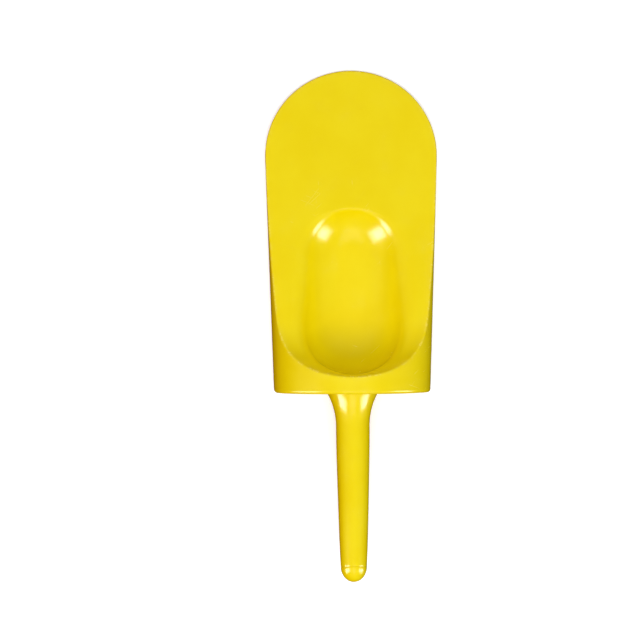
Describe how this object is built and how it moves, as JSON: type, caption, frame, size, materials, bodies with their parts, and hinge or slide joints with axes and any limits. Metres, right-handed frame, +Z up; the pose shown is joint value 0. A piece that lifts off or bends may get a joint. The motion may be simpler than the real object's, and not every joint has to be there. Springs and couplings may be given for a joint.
{
  "type": "hand scoop",
  "caption": "Hand feed scoop with a flat round-tipped blade, a sunk obround basin, an arched hood behind it and a straight tapered handle.",
  "frame": {"origin": "under the middle of the scoop's length, on the plane of symmetry, on the surface it rests on", "axes": "+Z up, +Y towards the tip of the blade, +X to the right seen from above with the tip away"},
  "size_m": [0.1144, 0.336, 0.05],
  "materials": {
    "yellow_plastic": "satin gloss"
  },
  "bodies": {
    "root": {"bowl": "yellow_plastic", "base_cover": "yellow_plastic", "handle": "yellow_plastic", "handle_end_cap": "yellow_plastic"}
  },
  "joints": []
}
